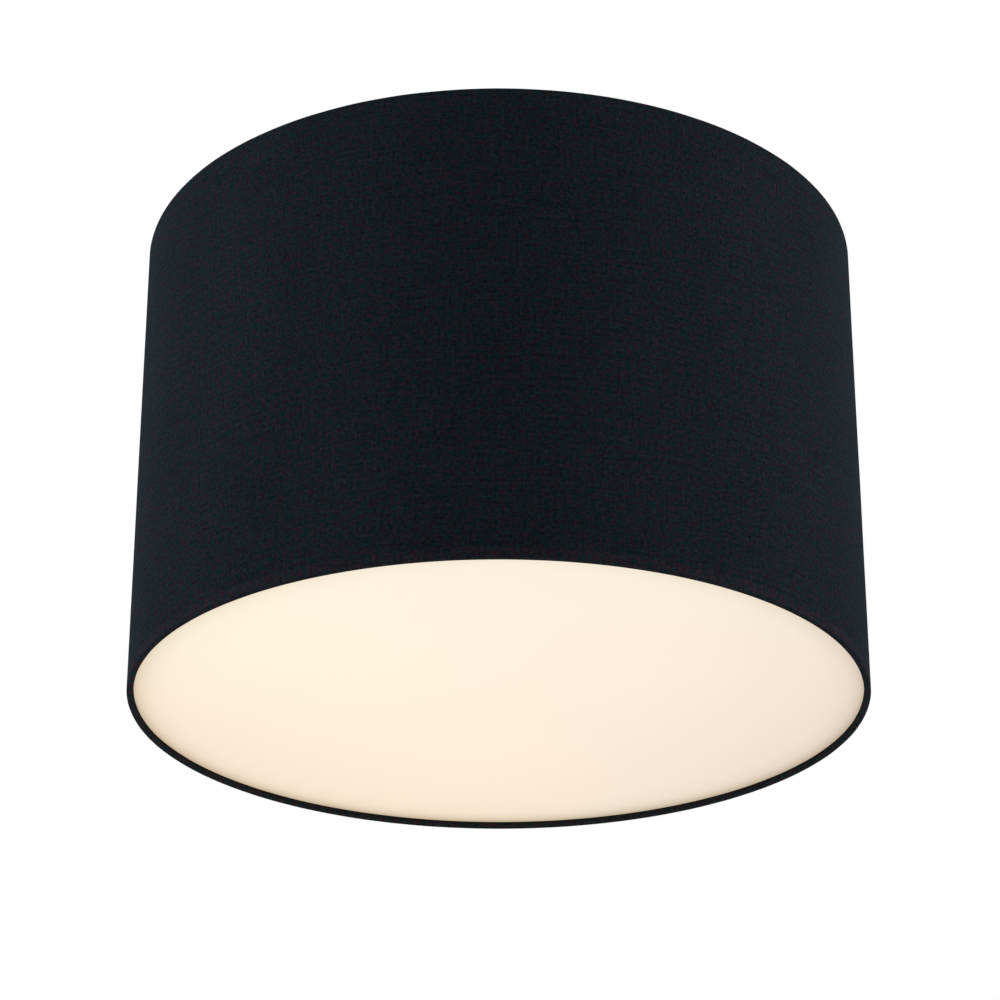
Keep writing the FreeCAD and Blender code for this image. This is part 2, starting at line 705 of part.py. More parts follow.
def bracket_rivets():
    """Two rivets in each bracket's foot, with a head above the plate in its recess and one below the foot."""
    body = new_body("bracket_rivets", turn=LAMP_ANGLES[0])
    made = []
    for name, place in (("inner", "rivet_inner"), ("outer", "rivet_inner + rivet_pitch")):
        profile = new_sketch(body, f"rivet_{name}", "XZ_Plane")
        at = f"bracket_face + {place}"
        shank, head = f"{at} + rivet_shank_dia / 2", f"{at} + rivet_head_dia / 2"
        crown = f"{at} + rivet_crown_dia / 2"
        outline(profile, [
            (at, "foot_under - rivet_head_height"), (crown, "foot_under - rivet_head_height"),
            (head, "foot_under"), (shank, "foot_under"),
            (shank, "0 - recess_depth"), (head, "0 - recess_depth"),
            (crown, "0 - recess_depth + rivet_head_height"), (at, "0 - recess_depth + rivet_head_height"),
        ])
        axis = profile.addGeometry(
            Part.LineSegment(Vector(size(at), 0, 0), Vector(size(at), 1, 0)), True
        )
        pin_point(profile, axis, 1, at, "0")
        pin_point(profile, axis, 2, at, "1")
        made.append(revolve(body, profile, "Axis0"))
    repeat_round(body, made)


def lampholder_tubes():
    """The threaded tubes that join the lampholders to their brackets."""
    body = new_body("holder_tubes", level="0 - lamp_level", turn=LAMP_ANGLES[0])
    profile = new_sketch(body, "tube_profile", "XZ_Plane")
    rectangle(
        profile, "leg_back - nut_height - nipple_back", "bracket_face + nipple_front",
        "nipple_bore / 2", "nipple_dia / 2",
    )
    repeat_round(body, [revolve(body, profile, "H_Axis")])


def lampholder_nuts():
    body = new_body("holder_nuts", level="0 - lamp_level", turn=LAMP_ANGLES[0])
    profile = new_sketch(body, "nut_profile", "YZ_Plane", offset="leg_back - nut_height")
    hexagon(profile, "nut_flats")
    circle(profile, "0", "0", "nipple_dia / 2 + fit_gap")
    repeat_round(body, [pad(body, profile, "nut_height")])


def hexagon(sketch, flats):
    """A hexagon about the origin, two of its flats level."""
    side, corner = f"{HEX_HALF_FLAT} * {flats}", f"{2 * HEX_HALF_FLAT} * {flats}"
    outline(sketch, [
        (f"0 - {side}", f"0 - {flats} / 2"), (side, f"0 - {flats} / 2"), (corner, "0"),
        (side, f"{flats} / 2"), (f"0 - {side}", f"{flats} / 2"), (f"0 - {corner}", "0"),
    ])


def lampholder(number, angle):
    """The moulded holder, its screw shell and its centre contact, turned about the lamp's own axis."""
    level = "0 - lamp_level"
    mouth, inner = "holder_mouth", "holder_dia / 2 - holder_wall"
    grip = "bracket_face + shell_start + socket_depth"
    turned_body(f"lampholder_{number}", [
        ("bracket_face", "nipple_dia / 2 + fit_gap"),
        ("bracket_face", "hub_dia / 2"),
        ("bracket_face + hub_length", "hub_dia / 2"),
        ("bracket_face + hub_length + shoulder_length", "holder_dia / 2"),
        (f"{mouth} - holder_bead_width", "holder_dia / 2"),
        (f"{mouth} - holder_bead_width", "holder_dia / 2 + holder_bead"),
        (mouth, "holder_dia / 2 + holder_bead"),
        (mouth, inner),
        (grip, inner),
        (grip, "shell_r + fit_gap"),
        ("bracket_face + shell_start", "shell_r + fit_gap"),
        ("bracket_face + shell_start", "chamber_dia / 2"),
        ("bracket_face + chamber_start", "chamber_dia / 2"),
        ("bracket_face + chamber_start", "nipple_bore / 2"),
        ("bracket_face + nipple_front", "nipple_bore / 2"),
        ("bracket_face + nipple_front", "nipple_dia / 2 + fit_gap"),
    ], level, angle, "H_Axis")
    turned_body(f"screw_shell_{number}", [
        ("bracket_face + shell_start", "shell_bore / 2"),
        ("bracket_face + shell_start", "shell_r"),
        ("bracket_face + shell_start + shell_length", "shell_r"),
        ("bracket_face + shell_start + shell_length", "shell_bore / 2"),
    ], level, angle, "H_Axis")
    floor = size("bracket_face + chamber_start + contact_gauge / 2")
    edge = math.sqrt(size("chamber_dia / 2") ** 2 - size("contact_width / 2") ** 2) - size("fit_gap")
    tip = size("bulb_at - seat_gap - contact_gauge / 2")
    line = [
        Vector(floor, 0, -edge),
        Vector(floor, 0, -size("nipple_bore / 2")),
        Vector(tip, 0, -size("tip_dia / 4")),
        Vector(tip, 0, size("tip_dia / 4")),
    ]
    bends = [0, size("contact_bend"), size("contact_bend"), 0]
    strip = bent_strip(line, bends, size("contact_gauge"), size("contact_width"))
    shape_node(f"centre_contact_{number}", strip, turn=angle, level=size(level))


def bulb(number, angle):
    """A screw-in golf-ball bulb: tip contact, insulator, cap, collar and opal globe."""
    level = "0 - lamp_level"
    turned_body(f"bulb_tip_{number}", [
        ("bulb_at", "0"), ("bulb_at", "tip_dia / 4"), ("bulb_at + tip_height / 2", "tip_dia / 2"),
        ("bulb_at + tip_height", "tip_dia / 2"), ("bulb_at + tip_height", "0"),
    ], level, angle, "H_Axis")
    turned_body(f"bulb_insulator_{number}", [
        ("bulb_at + tip_height", "0"), ("bulb_at + tip_height", "insulator_tip_dia / 2"),
        ("bulb_at + cap_start", "insulator_dia / 2"), ("bulb_at + cap_start", "0"),
    ], level, angle, "H_Axis")
    turned_body(f"bulb_cap_{number}", [
        ("bulb_at + cap_start", "0"),
        ("bulb_at + cap_start", "insulator_dia / 2"),
        ("bulb_at + cap_start + (cap_dia - insulator_dia) / 2", "cap_dia / 2"),
        ("cap_end - cap_rim_width", "cap_dia / 2"),
        ("cap_end - cap_rim_width", "cap_rim_dia / 2"),
        ("cap_end", "cap_rim_dia / 2"),
        ("cap_end", "0"),
    ], level, angle, "H_Axis")
    turned_body(f"bulb_collar_{number}", [
        ("cap_end", "0"),
        ("cap_end", "collar_waist_dia / 2"),
        ("cap_end + (neck_at - cap_end) / 3", "collar_flare_dia / 2"),
        ("neck_at", "sqrt(globe_r * globe_r - (globe_at - neck_at) * (globe_at - neck_at)) + collar_lip"),
        ("neck_at", "0"),
    ], level, angle, "H_Axis")
    body = new_body(f"bulb_globe_{number}", level, angle)
    profile = new_sketch(body, f"globe_{number}_profile", "XZ_Plane")
    globe_profile(profile)
    revolve(body, profile, "H_Axis")


def globe_profile(sketch):
    """The globe's arc from its crown on the axis back to its flat edge on the collar."""
    centre, radius = Vector(size("globe_at"), 0, 0), size("globe_r")
    back = size("globe_at - neck_at")
    rise = math.sqrt(radius ** 2 - back ** 2)
    arc = sketch.addGeometry(
        Part.ArcOfCircle(Part.Circle(centre, UP, radius), 0, math.atan2(rise, -back)), False
    )
    edge = Vector(centre.x - back, rise, 0)
    flat = sketch.addGeometry(Part.LineSegment(edge, Vector(edge.x, 0, 0)), False)
    base = sketch.addGeometry(
        Part.LineSegment(Vector(edge.x, 0, 0), centre + Vector(radius, 0, 0)), False
    )
    sketch.addConstraint(Sketcher.Constraint("Coincident", arc, 2, flat, 1))
    sketch.addConstraint(Sketcher.Constraint("Coincident", flat, 2, base, 1))
    sketch.addConstraint(Sketcher.Constraint("Coincident", base, 2, arc, 1))
    pin_point(sketch, arc, 3, "globe_at", "0")
    pin_point(sketch, flat, 2, "neck_at", "0")
    sketch.addConstraint(Sketcher.Constraint("Vertical", flat))
    sketch.addConstraint(Sketcher.Constraint("Horizontal", base))
    index = sketch.addConstraint(Sketcher.Constraint("Radius", arc, radius))
    bind(sketch, f"Constraints[{index}]", "globe_r")


# ---------------------------------------------------------------- terminals and wiring


def terminal_block():
    """Three poles under the middle of the plate: a housing with the wire entries and two screw towers a pole."""
    body = new_body("terminal_block")
    base = new_sketch(body, "block_base", "XY_Plane", offset="plate_under")
    rectangle(base, "0 - block_length / 2", "block_length / 2", "0 - block_width / 2", "block_width / 2")
    pad(body, base, "block_base", turned=True)
    poles = ["0 - pole_pitch", "0", "pole_pitch"]
    towers = new_sketch(body, "block_towers", "XY_Plane", offset="plate_under - block_base / 2")
    wells = new_sketch(body, "block_wells", "XY_Plane", offset="plate_under - block_height")
    entries = new_sketch(body, "block_entries", "XZ_Plane", offset="0 - block_width / 2")
    for x in poles:
        for side in ("0 - tower_spread / 2", "tower_spread / 2"):
            circle(towers, x, side, "tower_dia / 2")
            circle(wells, x, side, "terminal_screw_dia / 2 + fit_gap")
        circle(entries, x, "plate_under - block_base / 2", "entry_bore / 2")
    pad(body, towers, "block_height - block_base / 2", turned=True)
    pocket(body, wells, "block_height - block_base / 2", turned=True)
    pocket(body, entries, "block_width", turned=True)
    fixings = new_sketch(body, "block_fixings", "XY_Plane", offset="plate_under")
    for side in ("1", "-1"):
        circle(fixings, f"{side} * pole_pitch / 2", "0", "fixing_dia / 2 + fit_gap")
    pocket(body, fixings, "block_height")


def terminal_screws():
    """The six terminal screws, each standing in its tower on the wire entry."""
    body = new_body("terminal_screws")
    screws = new_sketch(body, "screw_shanks", "XY_Plane", offset="plate_under - block_base / 2 - entry_bore / 2")
    slots = new_sketch(body, "screw_slots", "XY_Plane", offset="plate_under - block_height + terminal_screw_drop")
    for x in ("0 - pole_pitch", "0", "pole_pitch"):
        for side in ("0 - tower_spread / 2", "tower_spread / 2"):
            circle(screws, x, side, "terminal_screw_dia / 2")
            rectangle(
                slots, f"{x} - terminal_screw_dia / 2", f"{x} + terminal_screw_dia / 2",
                f"{side} - driver_slot / 2", f"{side} + driver_slot / 2",
            )
    depth = "block_height - terminal_screw_drop - block_base / 2 - entry_bore / 2"
    pad(body, screws, depth, turned=True)
    pocket(body, slots, "terminal_screw_dia / 4", turned=True)


def block_screws():
    """Two screws between the poles that hold the block to the plate."""
    body = new_body("block_screws")
    shanks = new_sketch(body, "fixing_shanks", "XY_Plane", offset="0 - recess_depth + fixing_tail")
    heads = new_sketch(body, "fixing_heads", "XY_Plane", offset="plate_under - block_base")
    for side in ("1", "-1"):
        circle(shanks, f"{side} * pole_pitch / 2", "0", "fixing_dia / 2")
        circle(heads, f"{side} * pole_pitch / 2", "0", "fixing_head_dia / 2")
    pad(body, shanks, "fixing_tail + plate_gauge + block_base", turned=True)
    pad(body, heads, "fixing_head_height", turned=True)


def earth_terminal():
    """Stud, lug, serrated washer and nut, stacked under the plate."""
    under = "plate_under"
    stack = [
        ("earth_lug", under, "lug_gauge", "lug_dia / 2"),
        ("earth_washer", "plate_under - lug_gauge", "washer_gauge", "washer_dia / 2"),
    ]
    for label, top, gauge, radius in stack:
        ring = turned_body(label, [
            ("stud_dia / 2 + fit_gap", f"{top} - {gauge}"), (radius, f"{top} - {gauge}"),
            (radius, top), ("stud_dia / 2 + fit_gap", top),
        ])
        at_stud(ring)
    stud = turned_body("earth_stud", [
        ("0", "plate_under - stud_length"), ("stud_dia / 2", "plate_under - stud_length"),
        ("stud_dia / 2", "0 - recess_depth"), ("stud_dia", "0 - recess_depth"),
        ("stud_dia", "0 - recess_depth + stud_dia / 4"), ("0", "0 - recess_depth + stud_dia / 4"),
    ])
    at_stud(stud)
    nut = new_body("earth_nut")
    profile = new_sketch(nut, "earth_nut_profile", "XY_Plane", offset="plate_under - lug_gauge - washer_gauge")
    hexagon(profile, "earth_nut_flats")
    circle(profile, "0", "0", "stud_dia / 2 + fit_gap")
    pad(nut, profile, "earth_nut_height", turned=True)
    at_stud(nut)


def at_stud(body):
    bind(body, "Placement.Base.x", "stud_offset_x")
    bind(body, "Placement.Base.y", "stud_offset_y")


def wire(label, points):
    """An insulated wire along straight runs joined by wide arcs."""
    corners = [(points[0], 0)]
    for before, point, after in zip(points, points[1:], points[2:]):
        back, ahead = point - before, after - point
        turn = back.getAngle(ahead)
        corners.append((point, 0.45 * min(back.Length, ahead.Length) / math.tan(turn / 2)))
    corners.append((points[-1], 0))
    path = rounded_wire(corners, closed=False)
    section = Part.Wire(Part.Circle(points[0], points[1] - points[0], size("wire_dia / 2")).toShape())
    tube = path.makePipeShell([section], True, True)
    exact = path.Length * math.pi * size("wire_dia / 2") ** 2
    least = min((radius for _, radius in corners[1:-1]), default=0)
    print(f"{label}: length {path.Length:.1f}, least radius {least:.1f}, volume ratio {tube.Volume / exact:.4f}")
    shape_node(label, tube)


# Each lamp wire's way from its tube to the block: its side of the tube, how far from the light's axis it
# leaves the tube's line, then its bends, chosen by hand, in millimetres.
WIRE_ROUTES = {
    ("live", 1): (1, 17, []),
    ("neutral", 1): (-1, 17, []),
    ("live", 2): (-1, 11, [(-13, 16.5, -27)]),
    ("neutral", 2): (1, 9, [(4, 3.5, -46.5), (9.3, 14.2, -26)]),
    ("live", 3): (-1, 11, [(-2, 3, -37.5), (-8.8, 14.2, -23)]),
    ("neutral", 3): (1, 11, [(13, 16.5, -27)]),
}
EARTH_BEND = Vector(12, 25, -6)  # the earth wire's one bend, chosen by hand in the same way


def lamp_wires():
    """A live and a neutral wire from each lampholder's chamber through its tube to the block."""
    spread, nest = size("wire_pair / 2"), size("wire_nest")
    level = Vector(0, 0, -size("lamp_level"))
    entry = Vector(size("pole_pitch"), size("block_width / 2"), size("plate_under - block_base / 2"))
    for number, angle in enumerate(LAMP_ANGLES, start=1):
        out = Vector(math.cos(math.radians(angle)), math.sin(math.radians(angle)), 0)
        for name, pole_x in (("live", -entry.x), ("neutral", entry.x)):
            side, reach, bends = WIRE_ROUTES[name, number]
            beside = Vector(-out.y, out.x, 0) * (spread * side) + level
            pole = Vector(pole_x + nest * out.x, 0, entry.z + nest * out.y)
            wire(f"{name}_wire_{number}", [
                out * size("bracket_face + chamber_start") + beside,
                out * reach + beside,
                *[Vector(*bend) for bend in bends],
                pole + Vector(0, entry.y + size("wire_lead") + nest * out.y, 0),
                pole + Vector(0, entry.y - size("wire_insert"), 0),
            ])


def earth_wire():
    """From the block's middle pole to the lug on the stud."""
    entry = Vector(0, size("block_width / 2"), size("plate_under - block_base / 2"))
    stud = Vector(size("stud_offset_x"), size("stud_offset_y"), size("plate_under - wire_dia / 2 - fit_gap"))
    towards = Vector(EARTH_BEND.x - stud.x, EARTH_BEND.y - stud.y, 0).normalize()
    wire("earth_wire", [
        entry - Vector(0, size("wire_insert"), 0),
        entry + Vector(0, size("wire_lead"), 0),
        EARTH_BEND,
        stud + towards * size("lug_dia / 2 + fit_gap"),
    ])


def all_pieces():
    shade_cloth()
    shade_liner()
    shade_carrier()
    rim_wire()
    opal_disc()
    plate = ceiling_plate()
    plate_holes(plate)
    rivet_holes(plate)
    cable_grommet()
    spring_clips()
    for number, angle in enumerate(LAMP_ANGLES, start=1):
        bracket(number, angle)
        lampholder(number, angle)
        bulb(number, angle)
    bracket_rivets()
    lampholder_tubes()
    lampholder_nuts()
    terminal_block()
    terminal_screws()
    block_screws()
    earth_terminal()
    lamp_wires()
    earth_wire()


def check_and_write():
    doc.recompute()
    for item in doc.Objects:
        if {"Invalid", "Error"} & set(item.State):
            raise RuntimeError(f"{item.Name} failed: {item.State}")
    for label, item in nodes.items():
        if item.Shape.isNull() or not item.Shape.isValid() or not item.Shape.Solids:
            raise RuntimeError(f"{label} has no valid solid")
    os.makedirs("parts", exist_ok=True)
    for label, item in nodes.items():
        item.Shape.exportStep(f"parts/{label}.step")


fill_sheet()
all_pieces()
check_and_write()
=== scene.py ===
"""A flush ceiling light seen from below: a slate cloth drum with a glowing opal disc.

Lengths are metres, in the part's own frame: +Z up, with the ceiling at zero.
"""

import math

import bpy
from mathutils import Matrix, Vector, noise


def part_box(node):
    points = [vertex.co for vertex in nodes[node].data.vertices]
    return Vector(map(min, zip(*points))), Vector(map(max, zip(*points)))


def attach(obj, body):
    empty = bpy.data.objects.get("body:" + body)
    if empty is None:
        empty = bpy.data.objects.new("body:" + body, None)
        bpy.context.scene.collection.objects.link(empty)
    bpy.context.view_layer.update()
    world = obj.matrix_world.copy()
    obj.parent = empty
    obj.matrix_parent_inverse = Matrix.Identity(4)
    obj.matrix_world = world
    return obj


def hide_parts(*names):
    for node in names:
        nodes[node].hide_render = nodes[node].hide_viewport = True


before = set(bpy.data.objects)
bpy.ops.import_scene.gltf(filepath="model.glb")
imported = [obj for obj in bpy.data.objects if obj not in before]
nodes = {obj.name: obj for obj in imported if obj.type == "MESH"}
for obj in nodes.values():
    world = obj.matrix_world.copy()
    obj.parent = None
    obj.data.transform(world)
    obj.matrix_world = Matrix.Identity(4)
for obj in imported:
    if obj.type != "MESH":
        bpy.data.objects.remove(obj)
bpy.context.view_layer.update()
MM = 0.001

# The cloth, how far it is turned in at the top, and how it is rolled round the wire at the bottom
CLOTH = 0.4 * MM
YARN_PITCH = 0.42 * MM
LAP = 10 * MM
HEM_IN = 2.5 * MM
HEM_DEPTH = 8 * MM
ROLL_HOLE = 1.0 * MM
ROLL_R = ROLL_HOLE + CLOTH

# Places read from the frame. LAMP_AWAY is a share of the disc's radius.
cloth_low, cloth_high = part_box("shade_cloth")
DRUM_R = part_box("shade_liner")[1].x + CLOTH
DRUM_TOP, DRUM_LOW = cloth_high.z, cloth_low.z
DISC_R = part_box("opal_disc")[1].x
LAMP_TURNS = [math.radians(turn) for turn in (90, 210, 330)]
LAMP_AWAY = sum(corner.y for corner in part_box("bulb_globe_1")) / 2 / DISC_R


# ---------------------------------------------------------------- node materials


class Nodes:
    """Short names for building a material's nodes."""

    def __init__(self, name):
        self.material = bpy.data.materials.new(name)
        self.material.use_nodes = True
        self.tree = self.material.node_tree
        self.tree.nodes.clear()
        self.out = self.tree.nodes.new("ShaderNodeOutputMaterial")

    def add(self, kind, **fields):
        node = self.tree.nodes.new("ShaderNode" + kind)
        for key, value in fields.items():
            setattr(node, key, value)
        return node

    def link(self, source, target):
        self.tree.links.new(source, target)

    def math(self, operation, a, b=0.0, clamp=False):
        """A sum of sockets or numbers."""
        node = self.add("Math", operation=operation, use_clamp=clamp)
        for socket, value in zip(node.inputs, (a, b)):
            if isinstance(value, (int, float)):
                socket.default_value = value
            else:
                self.link(value, socket)
        return node.outputs[0]

    def squares(self, a, b):
        """a squared plus b squared."""
        return self.math("ADD", self.math("MULTIPLY", a, a), self.math("MULTIPLY", b, b))

    def blend(self, factor, dark, light):
        """A colour between two, by a factor socket."""
        node = self.add("Mix", data_type="RGBA")
        self.link(factor, node.inputs[0])
        for socket, value in ((node.inputs[6], dark), (node.inputs[7], light)):
            if isinstance(value, tuple):
                socket.default_value = (*value, 1)
            else:
                self.link(value, socket)
        return node.outputs[2]

    def colour_add(self, factor, colour, base):
        """base + factor * colour, with factor a socket and base a colour or a socket."""
        node = self.add("VectorMath", operation="MULTIPLY_ADD")
        self.link(factor, node.inputs[0])
        node.inputs[1].default_value = colour
        if isinstance(base, tuple):
            node.inputs[2].default_value = base
        else:
            self.link(base, node.inputs[2])
        return node.outputs[0]

    def colour_times(self, a, b):
        node = self.add("VectorMath", operation="MULTIPLY")
        self.link(a, node.inputs[0])
        self.link(b, node.inputs[1])
        return node.outputs[0]

    def ramp(self, value, low, high, out_low=0.0, out_high=1.0, smooth=False):
        node = self.add("MapRange", interpolation_type="SMOOTHSTEP" if smooth else "LINEAR")
        self.link(value, node.inputs[0])
        for index, number in zip((1, 2, 3, 4), (low, high, out_low, out_high)):
            node.inputs[index].default_value = number
        return node.outputs[0]

    def noise(self, vector, scale, detail=2.0, rough=0.5, size=(1, 1, 1)):
        """Noise of a scale in patches per metre, drawn out along the axes whose size is small."""
        mapped = self.add("Mapping")
        mapped.inputs["Scale"].default_value = size
        self.link(vector, mapped.inputs["Vector"])
        node = self.add("TexNoise")
        self.link(mapped.outputs[0], node.inputs["Vector"])
        node.inputs["Scale"].default_value = scale
        node.inputs["Detail"].default_value = detail
        node.inputs["Roughness"].default_value = rough
        return node.outputs[0]

    def place(self):
        return self.add("TexCoord").outputs["Object"]

    def xyz(self):
        """The object's own coordinates, as three sockets."""
        split = self.add("SeparateXYZ")
        self.link(self.place(), split.inputs[0])
        return split.outputs[:]

    def from_axis(self):
        """Distance from the drum's upright axis."""
        x, y, _ = self.xyz()
        return self.math("SQRT", self.squares(x, y))

    def unrolled(self):
        """The drum's wall laid flat: the length round it, its height, and both as one vector."""
        x, y, up = self.xyz()
        around = self.math("MULTIPLY", self.math("ARCTAN2", y, x), DRUM_R)
        flat = self.add("CombineXYZ")
        self.link(around, flat.inputs[0])
        self.link(up, flat.inputs[1])
        return around, up, flat.outputs[0]

    def bump(self, height, distance, strength=1.0):
        node = self.add("Bump")
        node.inputs["Strength"].default_value = strength
        node.inputs["Distance"].default_value = distance
        self.link(height, node.inputs["Height"])
        return node.outputs[0]

    def surface(self, colour, normal, roughness, glow=None, **numbers):
        """The Principled shader. Sockets are linked, and numbers are set on the shader itself."""
        shader = self.add("BsdfPrincipled")
        for key, value in numbers.items():
            shader.inputs[key.replace("_", " ")].default_value = value
        fields = {"Base Color": colour, "Normal": normal, "Roughness": roughness, "Emission Color": glow}
        for name, value in fields.items():
            if value is None:
                continue
            if isinstance(value, tuple):
                shader.inputs[name].default_value = (*value, 1)
            elif isinstance(value, (int, float)):
                shader.inputs[name].default_value = value
            else:
                self.link(value, shader.inputs[name])
        self.link(shader.outputs[0], self.out.inputs["Surface"])


def cloth_material():
    """Slate cotton in plain weave: teal and maroon yarns over near black, fine slubs, a charcoal hem with a
    painted warm glow from the lit disc.
    """
    n = Nodes("slate_cotton")
    around, up, flat = n.unrolled()

    def vary(base, value, amount, clamp=False):
        """base, moved by a noise value's distance from its middle."""
        change = n.math("MULTIPLY", n.math("SUBTRACT", value, 0.5), amount)
        return n.math("ADD", base, change, clamp)

    # How light each thread is, from 0 to 1
    turns = 2 * math.pi / YARN_PITCH
    weft = n.math("SINE", n.math("MULTIPLY", up, turns))
    warp = n.math("SINE", n.math("MULTIPLY", around, turns))
    weave = n.math("MULTIPLY", weft, warp)
    slub_across = n.noise(flat, 1.0, 2.0, 0.5, (40, 1400, 1))
    slub_up = n.noise(flat, 1.0, 2.0, 0.5, (1400, 60, 1))
    fleck = n.noise(flat, 1.0, 1.0, 0.5, (750, 750, 1))
    cloud = n.noise(flat, 14.0, 3.0, 0.55)
    threads = n.math("ADD", n.math("MULTIPLY", weave, 0.10), 0.5)
    threads = vary(threads, slub_across, 0.4)
    threads = vary(threads, slub_up, 0.36)
    threads = vary(threads, fleck, 0.8)
    threads = vary(threads, cloud, 0.12, clamp=True)

    # How warm its dye is, from teal to maroon
    dash_across = n.noise(flat, 1.0, 1.0, 0.5, (250, 1100, 1))
    dash_up = n.noise(flat, 1.0, 1.0, 0.5, (1100, 250, 1))
    dye = n.noise(flat, 1.0, 2.0, 0.5, (450, 450, 1))
    warm = vary(0.5, dye, 2.0)
    warm = vary(warm, dash_across, 2.0)
    warm = vary(warm, dash_up, 2.0, clamp=True)
    near_black, teal, maroon = (0.0020, 0.0020, 0.0024), (0.0088, 0.0392, 0.0448), (0.0405, 0.0272, 0.0352)
    colour = n.blend(threads, near_black, n.blend(warm, teal, maroon))

    # The hem is lighter: its own charcoal tone plus a painted warm glow from the lit disc, strongest under
    # the roll
    hem_tone_and_glow, hem_under_glow = (1.50, 1.08, 1.12), (2.00, 1.65, 1.60)
    hem = n.ramp(up, DRUM_LOW + 3.8 * MM, DRUM_LOW + 5.2 * MM, 1.0, 0.0, True)
    under = n.ramp(up, DRUM_LOW + 0.4 * MM, DRUM_LOW + 1.5 * MM, 1.0, 0.0, True)
    colour = n.colour_times(colour, n.blend(hem, (1.0, 1.0, 1.0), n.blend(under, hem_tone_and_glow, hem_under_glow)))

    height = n.math("ADD", n.math("MULTIPLY", weave, 0.5), n.math("MULTIPLY", slub_across, 1.2))
    n.surface(
        colour, n.bump(height, 0.05 * MM, 0.6), n.ramp(threads, 0, 1, 0.85, 0.75),
        Specular_IOR_Level=0.004, Specular_Tint=(0.6, 0.85, 1.0, 1),
    )
    return n.material


def glow_material():
    """Opal acrylic lit by three lamps: dimmer to the right and the far side, with painted shade that dims
    and warms a narrow band at its rim.
    """
    n = Nodes("lit_opal_acrylic")
    x, y = (n.math("DIVIDE", socket, DISC_R) for socket in n.xyz()[:2])
    xx, yy = n.math("MULTIPLY", x, x), n.math("MULTIPLY", y, y)
    patch_width = 0.45
    patch_colours = ((0.049, 0.012, 0.008), (0.0, 0.042, 0.012), (0.019, 0.006, 0.003))
    rim_width, rim_painted_shade = 0.0285, (-0.42, -0.45, -0.54)

    def patch(turn):
        """1 under a lamp, fading with the distance from it."""
        dx = n.math("SUBTRACT", x, LAMP_AWAY * math.cos(turn))
        dy = n.math("SUBTRACT", y, LAMP_AWAY * math.sin(turn))
        return n.math("EXPONENT", n.math("MULTIPLY", n.squares(dx, dy), -1 / patch_width ** 2))

    lit = n.colour_add(x, (-0.052, -0.029, -0.010), (0.920, 0.786, 0.622))
    lit = n.colour_add(y, (-0.047, -0.059, -0.062), lit)
    lit = n.colour_add(xx, (-0.063, -0.080, -0.048), lit)
    lit = n.colour_add(yy, (-0.051, -0.023, -0.012), lit)
    for turn, colour in zip(LAMP_TURNS, patch_colours):
        lit = n.colour_add(patch(turn), colour, lit)
    # Painted shade: the glow falls off towards the disc's rim, more in blue, so the edge turns warm
    inside = n.math("SUBTRACT", n.math("SQRT", n.math("ADD", xx, yy)), 1.0)
    rim = n.math("EXPONENT", n.math("DIVIDE", inside, rim_width))
    lit = n.colour_times(lit, n.colour_add(rim, rim_painted_shade, (1.0, 1.0, 1.0)))
    n.surface((0.02, 0.02, 0.02), None, 0.42, lit, Specular_IOR_Level=0.15, Emission_Strength=1.0)
    return n.material


def painted(name, colour, rough, peel, coat=0.0):
    """Powder coat or moulded plastic: an even colour, faint clouding, and orange peel of a height in mm."""
    n = Nodes(name)
    place = n.place()
    cloud = n.noise(place, 35.0, 3.0)
    tone = n.blend(n.ramp(cloud, 0.3, 0.7), tuple(c * 0.95 for c in colour), colour)
    orange_peel = n.bump(n.noise(place, 900.0, 1.0), peel * MM)
    shine = n.ramp(cloud, 0.3, 0.7, rough * 1.15, rough * 0.9)
    n.surface(tone, orange_peel, shine, Specular_IOR_Level=0.45, Coat_Weight=coat)
    return n.material


def metal(name, colour, rough):
    """Plated or drawn metal with a fine grain across its height."""
    n = Nodes(name)
    streak = n.noise(n.place(), 1.0, 3.0, 0.6, (30, 30, 900))
    tone = n.blend(n.ramp(streak, 0.3, 0.7), tuple(c * 0.82 for c in colour), colour)
    shine = n.ramp(streak, 0.3, 0.7, rough * 0.8, rough * 1.35)
    n.surface(tone, n.bump(streak, 0.01 * MM, 0.5), shine, Metallic=1.0)
    return n.material


def lamp_material():
    """The bulb's opal globe, lit: warm white, dimmer and warmer towards its neck."""
    n = Nodes("lit_opal_globe")
    neck_end, body_start, neck = 84 * MM, 100 * MM, (0.62, 0.47, 0.30)
    cloud = n.noise(n.place(), 60.0, 2.0)
    body = n.blend(n.ramp(cloud, 0.3, 0.7), (0.93, 0.80, 0.60), (0.96, 0.84, 0.64))
    lit = n.blend(n.ramp(n.from_axis(), neck_end, body_start, 0.0, 1.0, True), neck, body)
    n.surface((0.05, 0.05, 0.05), None, 0.22, lit, Specular_IOR_Level=0.5, Emission_Strength=1.0)
    return n.material


# ---------------------------------------------------------------- meshes


def new_object(name, data):
    obj = bpy.data.objects.new(name, data)
    bpy.context.scene.collection.objects.link(obj)
    return obj


def mesh_object(name, verts, faces, material):
    mesh = bpy.data.meshes.new(name)
    mesh.from_pydata(verts, [], faces)
    mesh.validate()
    mesh.shade_smooth()
    mesh.materials.append(material)
    return new_object(name, mesh)


def lathe(name, loop, segments, material, shape):
    """Turns a closed profile of (radius, z) about Z. shape(angle, r, z) gives each point its final place."""
    count = len(loop)
    verts, faces = [], []
    for s in range(segments):
        angle = 2 * math.pi * s / segments
        for point in loop:
            r, z = shape(angle, *point)
            verts.append((r * math.cos(angle), r * math.sin(angle), z))
    for s in range(segments):
        a, b = s * count, (s + 1) % segments * count
        for i in range(count):
            j = (i + 1) % count
            faces.append((a + i, b + i, b + j, a + j))
    return mesh_object(name, verts, faces, material)


